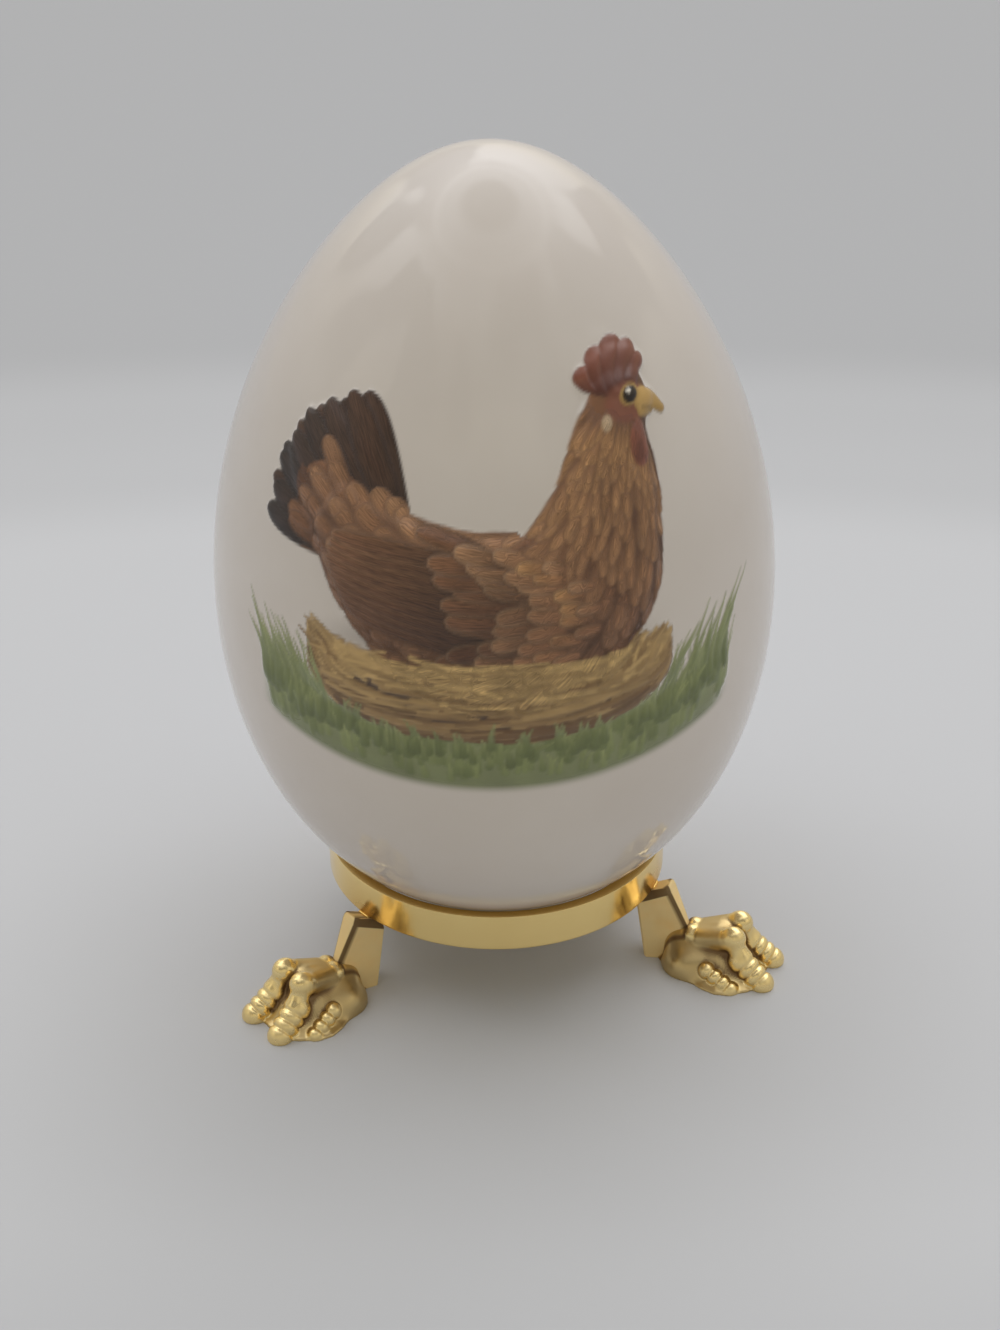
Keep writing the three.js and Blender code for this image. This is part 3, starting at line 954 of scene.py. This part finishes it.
def wing():
    """The folded wing: long flight feathers with pale edges, then shorter rows up to the shoulder."""
    swell((-4.5, 12.2), (12.5, 5.8), 1.42, math.radians(-6))
    for share in np.linspace(0, 1, 9):
        root = np.array((-0.5 - 1.6 * share, 6.6 + 9.6 * share))
        tip = np.array((-17.4 + 2.6 * abs(share - 0.6), 10.8 + 6.8 * share))
        run = tip - root
        paints = (UMBER, between(BROWN_DARK, BROWN, 0.25 + 0.5 * share))
        lace = between(BROWN, BROWN_LIGHT, 0.2 + 0.7 * share)
        plume(root, math.atan2(run[1], run[0]), np.hypot(*run), 2.7, paints, 0.24, lace=lace)
    for reach, length, width, count, first, last in (
        (0.4, 6.8, 2.7, 9, BROWN_DARK, BROWN),
        (3.2, 5.4, 2.5, 9, BROWN_DARK, BROWN_LIGHT),
        (5.4, 4.2, 2.2, 8, BROWN, BROWN_LIGHT),
        (7.2, 3.2, 1.9, 7, BROWN, HACKLE),
        (8.6, 2.6, 1.6, 5, BROWN, BROWN_LIGHT),
    ):
        for share in np.linspace(0, 1, count):
            bulge = 2.8 * (1 - (2 * share - 1) ** 2)
            root = np.array((reach + bulge - 1.5 * share, 6.4 + (10.6 - 0.2 * reach) * share))
            root = root + hand.normal(0, 0.22, 2)
            heading = math.radians(186 - 18 * share) + hand.normal(0, 0.09)
            light = np.clip(0.25 + 0.7 * share + hand.normal(0, 0.15), 0, 1)
            paint = between(first, last, light)
            reached = length * hand.uniform(0.88, 1.12)
            lace = between(paint, CREAM, 0.25)
            plume(root, heading, reached, width, (first * 0.85, paint), 0.2, 0.95, lace)


COMB_FOOT = (12.9, 32.4)
COMB_SPREAD = 0.55
COMB_POINTS = (
    (9.4, 33.6, 1.0), (10.9, 35.2, 1.25), (12.7, 35.9, 1.35), (14.5, 35.3, 1.2), (15.8, 34.0, 0.9),
)
COMB_WIDTH = 2.1
EYE = (14.1, 30.9)


def head():
    """Comb, wattle, face, beak, ear and eye."""
    for u, v, size in COMB_POINTS:
        foot = np.array((COMB_FOOT[0] + (u - COMB_FOOT[0]) * COMB_SPREAD, COMB_FOOT[1]))
        middle = ((u + foot[0]) / 2 - 0.2, (v + foot[1]) / 2)
        stroke([foot, middle, (u, v)], COMB_WIDTH * size, (RUSSET_DARK, RUSSET), 0.25)
    swell((12.7, 33.6), (4.2, 2.6), 0.5)
    oval((15.3, 26.1), (1.25, 2.3), RUSSET, math.radians(8), lift=0.35)
    oval((15.1, 25.3), (0.6, 1.1), RUSSET_DARK, opacity=0.5)
    oval((13.9, 30.2), (2.5, 1.9), RUSSET, math.radians(-12), opacity=0.9, soft=0.8)
    stroke([(15.9, 29.3), (16.6, 29.1), (17.2, 29.0)], 1.7, (BEAK * 0.8, BEAK * 0.62), 0.2, 0.4)
    stroke([(15.7, 30.3), (17.3, 30.0), (18.9, 28.7)], 2.3, (BEAK, BEAK * 0.8), 0.25, 0.6)
    stroke([(15.8, 29.35), (16.6, 29.25), (17.3, 29.1)], 0.45, (BEAK * 0.45, BEAK * 0.45), 0.2, 0.2, 0.6)
    oval((11.5, 28.6), (0.55, 0.8), CREAM, opacity=0.7, lift=0.15)
    oval(EYE, (1.15, 1.1), BEAK * 0.75, lift=0.3)
    oval(EYE, (0.86, 0.84), UMBER * 0.35, lift=0.4)
    oval((13.85, 31.25), (0.26, 0.24), WHITE, soft=0.2)
    swell((13.2, 30.4), (4.4, 3.9), 1.0)


NEST_MIDDLE = -0.5
NEST_HALF = 19.6
NEST_RIM = 5.4
NEST_LIP = 2.0
NEST_DEPTH = 8.6
NEST_SQUARE = 2.8
STRAWS = 560
WOVEN_STRAWS = 440
LOOSE_ENDS = 34


def nest():
    """A bowl of straw woven round the bird, its loose ends standing out at the rim and the two sides."""
    swell((NEST_MIDDLE, 2.2), (21.2, 5.6), 1.25, power=0.6)
    hang = NEST_DEPTH - NEST_LIP
    side = np.clip((across - NEST_MIDDLE) / NEST_HALF, -1, 1)
    low = NEST_RIM + 0.4 * side**2 - NEST_LIP - hang * np.sqrt(1 - np.abs(side) ** NEST_SQUARE)
    high = NEST_RIM + 0.7 * side**2
    inside = np.minimum(high - upward, upward - low)
    mask = 0.96 * eased(inside / 0.7 + 0.4) * (np.abs(across - NEST_MIDDLE) < NEST_HALF)
    lay(EVERYWHERE, mask, STRAW_SHADE)
    for k in range(STRAWS):
        loose = k >= WOVEN_STRAWS
        level = hand.uniform(-0.04, 0.22) if loose else hand.uniform(0.02, 1.0) ** 0.85
        turn = hand.uniform(-1.45, 1.45)
        span = hand.uniform(0.1, 0.3)
        lean = hand.normal(0, 0.55) + (1.6 * math.sin(turn) + hand.normal(0, 0.7) if loose else 0)
        points = []
        for step in (-1, 0, 1):
            s = math.sin(np.clip(turn + span * step, -1.56, 1.56))
            bowl = NEST_LIP + hang * math.sqrt(max(0.0, 1 - abs(s) ** NEST_SQUARE))
            height = NEST_RIM + 0.6 * s * s - bowl * level + lean * step * 0.5
            points.append((NEST_MIDDLE + (NEST_HALF + 0.3) * s, height))
        shade = np.clip(0.85 - 0.75 * level + hand.normal(0, 0.25), 0, 1)
        first = between(STRAW_DARK, STRAW, shade)
        last = first * hand.uniform(0.75, 1.15)
        stroke(points, hand.uniform(0.4, 0.75), (first, last), 0.2, 0.35, 0.95)
    for k in range(LOOSE_ENDS):
        end = 1 if k % 2 else -1
        root_u = NEST_MIDDLE + end * (NEST_HALF - hand.uniform(0.5, 5.0))
        root = np.array((root_u, NEST_RIM + hand.uniform(-1.6, 1.0)))
        out = np.array((end * hand.uniform(0.6, 2.8), hand.uniform(-0.4, 2.4)))
        paint = between(STRAW_DARK, STRAW, hand.uniform(0.2, 1))
        points = [root, root + out * 0.5 + (0, 0.15), root + out]
        stroke(points, hand.uniform(0.35, 0.55), (paint, paint * 0.9), 0.2, 0.5)


FRONT_BLADES = 190
END_BLADES = 90


def near_grass():
    """Blades in front of the nest, and taller tufts at its two ends."""
    for k in range(FRONT_BLADES):
        side = 1 if k % 2 else -1
        end = k < END_BLADES
        u = side * hand.uniform(17.5, 27.5) if end else hand.uniform(-24, 24)
        share = abs(u) / BLADE_REACH
        base = np.array((u, -5.2 + 5.0 * share**2 + hand.normal(0, 0.5)))
        height = hand.uniform(4.0, 9.5) if end else hand.uniform(1.6, 3.6)
        bend = side * hand.uniform(0.2, 0.55) * height if end else hand.normal(0, 0.8)
        tip = base + (bend, height)
        middle = base + (bend * 0.25, height * 0.55)
        shade = hand.uniform(0, 1)
        paints = GRASS_SHADE * (0.8 + 0.2 * shade), between(GRASS, GRASS_LIGHT, shade)
        stroke([base, middle, tip], hand.uniform(0.7, 1.15), paints, 0.16, 0.9, 0.92)


meadow()
tail()
body()
wing()
head()
nest()
near_grass()


def softened(field, rounds):
    """A field with its steps eased, as glaze fills sharp corners."""
    for _ in range(rounds):
        padded = np.pad(field, 1, mode="edge")
        beside_it = padded[:-2, 1:-1] + padded[2:, 1:-1] + padded[1:-1, :-2] + padded[1:-1, 2:]
        field = beside_it / 8 + field / 2
    return field


relief = softened(form * np.clip(1.6 * cover, 0, 1), 6) + softened(grain, 1)


def egg_mesh():
    """The shell's outside with its relief, the drain hole and a plainer inside, as points and faces."""
    height = np.zeros((len(row_lengths), len(column_turns)))
    height[np.ix_(in_rows, in_columns)] = relief
    slope_r, slope_z = np.gradient(row_r, row_lengths), np.gradient(row_z, row_lengths)
    out = row_r[:-1, None] + height[:-1] * slope_z[:-1, None]
    up = row_z[:-1, None] - height[:-1] * slope_r[:-1, None]
    inner_r, inner_z, inner_length = egg_outline(EGG_RADIUS - SHELL_WALL, EGG_HEIGHT - 2 * SHELL_WALL)
    half = inner_r.argmax()
    start = np.interp(VENT_RADIUS, inner_r[:half], inner_length[:half])
    inner_rows = np.linspace(inner_length[-1], start, INNER_ROWS)[1:]
    inside_r = np.interp(inner_rows, inner_length, inner_r)
    inside_z = np.interp(inner_rows, inner_length, inner_z) + SHELL_WALL
    count = len(column_turns)
    flat = np.ones(count)
    loops_r = np.vstack([np.outer(inside_r, flat), out])
    loops_z = np.vstack([np.outer(inside_z, flat), up])
    sides = [loops_r * np.sin(column_turns), -loops_r * np.cos(column_turns), loops_z]
    points = np.stack(sides, axis=-1).reshape(-1, 3)
    ends = [(0, 0, EGG_HEIGHT - SHELL_WALL), (0, 0, EGG_HEIGHT)]
    points = np.vstack([points, ends]) - (0, 0, LEAN_CENTRE)
    x, y, z = points.T
    sine, cosine = math.sin(EGG_LEAN), math.cos(EGG_LEAN)
    upright = x * sine + z * cosine + LEAN_CENTRE + egg_base
    leaning = np.stack([x * cosine - z * sine, y, upright], axis=-1)
    rows = len(loops_r)
    faces = loop_faces(rows, count, flipped=True)
    for k in range(count):
        m = (k + 1) % count
        faces.append((rows * count, m, k))
        faces.append((rows * count + 1, (rows - 1) * count + k, (rows - 1) * count + m))
    return leaning, faces, len(inside_r)


def ramp(tree, value, marks, easing="LINEAR"):
    """A colour read off a row of marks, each a place and its colour."""
    made = add_node(tree, "ShaderNodeValToRGB", {"Fac": value})
    made.color_ramp.interpolation = easing
    stops = made.color_ramp.elements
    stops.remove(stops[1])
    for i, (place, colour) in enumerate(marks):
        stop = stops.new(place) if i else stops[0]
        stop.position = place
        stop.color = (*colour, 1)
    return made.outputs["Color"]


def vector_step(tree, operation, *values):
    """The node that puts vectors through one step of arithmetic."""
    return add_node(tree, "ShaderNodeVectorMath", dict(enumerate(values)), operation=operation)


def glazed_porcelain():
    """White porcelain with brushed paint under a clear gloss glaze."""
    material, tree, shader = new_finish("glazed_porcelain")
    place = add_node(tree, "ShaderNodeTexCoord").outputs["Object"]
    painted = stored(tree, "ink", "Color")
    covered = stored(tree, "cover", "Fac")
    drawn = stored(tree, "brush", "Vector")
    streak_place = vector_step(tree, "MULTIPLY", drawn, STREAK_SCALE).outputs[0]
    streak = noise(tree, streak_place, 1.0, 4.0)
    pooled = noise(tree, place, POOL_SCALE, 3.0)
    streaked = ranged(tree, streak, (0.3, 0.7), (0.62, 1.38))
    pools = ranged(tree, pooled, (0.3, 0.7), (0.9, 1.1))
    stain = worked(tree, "MULTIPLY", streaked, pools)
    scaled = {0: painted, "Scale": stain}
    stained = add_node(tree, "ShaderNodeVectorMath", scaled, operation="SCALE").outputs[0]
    mottle = noise(tree, place, MOTTLE_SCALE, 4.0)
    porcelain = ramp(tree, mottle, PORCELAIN)
    feed(tree, shader["Base Color"], mixed_colour(tree, covered, porcelain, stained))
    gloss = ranged(tree, covered, (0.0, 1.0), GLAZE_ROUGH)
    feed(tree, shader["Roughness"], worked(tree, "MULTIPLY_ADD", mottle, MOTTLE_ROUGH, gloss))
    ripple = bumped(tree, noise(tree, place, RIPPLE_SCALE, 1.0), RIPPLE_DEPTH)
    bristle = worked(tree, "MULTIPLY", streak, covered)
    feed(tree, shader["Normal"], bumped(tree, bristle, BRISTLE_DEPTH, Normal=ripple))
    return material


egg_points, egg_faces, inner_loops = egg_mesh()
egg = add_piece("painted_egg", egg_points, egg_faces, glazed_porcelain(), "egg", "porcelain", ["egg_shell"])


def paint_egg(name, kind, field, socket):
    """Stores a field of the picture on the shell's outside, with nothing elsewhere."""
    width = field.shape[2:]
    whole = np.zeros((inner_loops + len(row_lengths) - 1, len(column_turns), *width), np.float32)
    whole[np.ix_(in_rows + inner_loops, in_columns)] = field
    flat = np.concatenate([whole.reshape(-1, *width), np.zeros((2, *width), np.float32)])
    layer = egg.data.attributes.new(name, kind, "POINT")
    layer.data.foreach_set(socket, flat.ravel())


opaque = np.ones((*cover.shape, 1))
paint_egg("ink", "FLOAT_COLOR", np.concatenate([ink, opaque], axis=-1), "color")
paint_egg("cover", "FLOAT", cover, "value")
paint_egg("brush", "FLOAT_VECTOR", brush, "vector")

# Studio. A pale sheet of paper under a soft light tent, with the camera where the photograph was taken:
# in front of the egg and above it, looking down at it.
FLOOR_SIZE = 6.0
# Paper tones by distance from the egg: painted light, paler near the egg and darker further off.
PAPER_TONES = ((0.0, 0.58), (0.085, 0.578), (0.115, 0.522), (0.15, 0.502), (0.187, 0.442), (0.6, 0.436))
PAPER_TINT = (1.0, 1.023, 1.09)
PAPER_CENTRE = (0.0, -0.028, 0.0)
PAPER_SQUASH = (0.5, 1.0, 0.0)
PAPER_ROUGH = 0.9
PAPER_SHEEN = 0.1
TENT_UP = (0.0, 0.12, 0.993)
TENT_LEVELS = (
    (0.0, 0.45, 0.1), (0.2, 0.5, 0.4), (0.45, 0.72, 0.6), (0.68, 1.15, 0.1), (0.8, 1.65, 0.0),
    (0.87, 1.7, 0.0), (0.89, 2.2, 0.0), (0.915, 1.75, 0.0), (0.955, 1.7, 0.0), (0.978, 0.7, 0.2),
    (1.0, 0.6, 0.2),
)
WARM_RED = 0.12
WARM_BLUE = 0.3
CLOTH_SCALE = (3.4, 2.4, 1.2)
CLOTH_SHIFT = (2.6, 8.8, 3.9)
CLOTH_HEIGHTS = ((0.3, 0.0), (0.45, 1.0), (0.78, 1.0), (0.9, 0.0))
ROOM_TINT = (1.15, 1.0, 0.55, 1)
FOCAL = 56.87
SENSOR = 36.0
NEAREST = 0.01
CAMERA_PITCH = 28.24
CAMERA_SPOT = (0.45, -217.80, 152.89)


def paper():
    """Matt paper, painted paler close to the egg than far away from it as painted light, and tinted a little
    blue against the tent's warm light.
    """
    material, tree, shader = new_finish("paper")
    feed(tree, shader["Roughness"], PAPER_ROUGH)
    feed(tree, shader["Specular IOR Level"], PAPER_SHEEN)
    place = add_node(tree, "ShaderNodeTexCoord").outputs["Object"]
    spot = vector_step(tree, "MULTIPLY_ADD", place, PAPER_SQUASH, PAPER_CENTRE).outputs[0]
    end = PAPER_TONES[-1][0]
    share = ranged(tree, vector_step(tree, "LENGTH", spot).outputs["Value"], (0.0, end))
    marks = [(reach / end, [level * tint for tint in PAPER_TINT]) for reach, level in PAPER_TONES]
    feed(tree, shader["Base Color"], ramp(tree, share, marks, "EASE"))
    return material


floor_mesh = bpy.data.meshes.new("paper_floor")
half = FLOOR_SIZE / 2
corners = [(-half, -half, 0), (half, -half, 0), (half, half, 0), (-half, half, 0)]
floor_mesh.from_pydata(corners, [], [(0, 1, 2, 3)])
floor_mesh.materials.append(paper())
add_object("paper_floor", floor_mesh)

world = bpy.data.worlds.new("light_tent")
bpy.context.scene.world = world
world.use_nodes = True
sky = world.node_tree
background = sky.nodes["Background"]
way = add_node(sky, "ShaderNodeTexCoord").outputs["Generated"]
height = vector_step(sky, "DOT_PRODUCT", way, TENT_UP).outputs["Value"]
front = add_node(sky, "ShaderNodeSeparateXYZ", {0: way}).outputs["Y"]
tent_marks = [
    (place, (level * (1 + WARM_RED * warmth), level, level * (1 - WARM_BLUE * warmth)))
    for place, level, warmth in TENT_LEVELS
]
tent = ramp(sky, height, tent_marks)
opening = ranged(sky, front, (-0.9, 0.5), (0.12, 1.15), "SMOOTHSTEP")
overhead = ranged(sky, height, (0.3, 0.65), easing="SMOOTHSTEP")
shaded = add_node(sky, "ShaderNodeMix", {"Factor": overhead, "A": 1.0, "B": opening}).outputs[0]
cloth = vector_step(sky, "MULTIPLY_ADD", way, CLOTH_SCALE, CLOTH_SHIFT).outputs[0]
folds = ranged(sky, noise(sky, cloth, 1.0, 0.6, 0.3), (0.46, 0.54), (0.6, 1.38))
hung = ramp(sky, height, [(place, (level, level, level)) for place, level in CLOTH_HEIGHTS])
draped = add_node(sky, "ShaderNodeMix", {"Factor": hung, "A": 1.0, "B": folds}).outputs[0]
facing = ranged(sky, front, (-0.2, -0.9), easing="SMOOTHSTEP")
low_down = ranged(sky, height, (0.6, 0.15), easing="SMOOTHSTEP")
rays = add_node(sky, "ShaderNodeLightPath").outputs
seen = worked(sky, "MAXIMUM", rays["Is Camera Ray"], rays["Is Glossy Ray"])
room = worked(sky, "MULTIPLY", facing, low_down)
room_share = worked(sky, "MULTIPLY", room, worked(sky, "SUBTRACT", 1.0, seen))
feed(sky, background.inputs["Color"], mixed_colour(sky, room_share, tent, ROOM_TINT, "MULTIPLY"))
feed(sky, background.inputs["Strength"], worked(sky, "MULTIPLY", shaded, draped))

camera_data = bpy.data.cameras.new("camera")
camera_data.lens = FOCAL
camera_data.sensor_width = SENSOR
camera_data.clip_start = NEAREST
camera = add_object("camera", camera_data)
camera.location = stand_axis + Vector(CAMERA_SPOT) * MM
camera.rotation_euler = (math.radians(90 - CAMERA_PITCH), 0, 0)
bpy.context.scene.camera = camera
bpy.context.scene.view_settings.view_transform = "Standard"
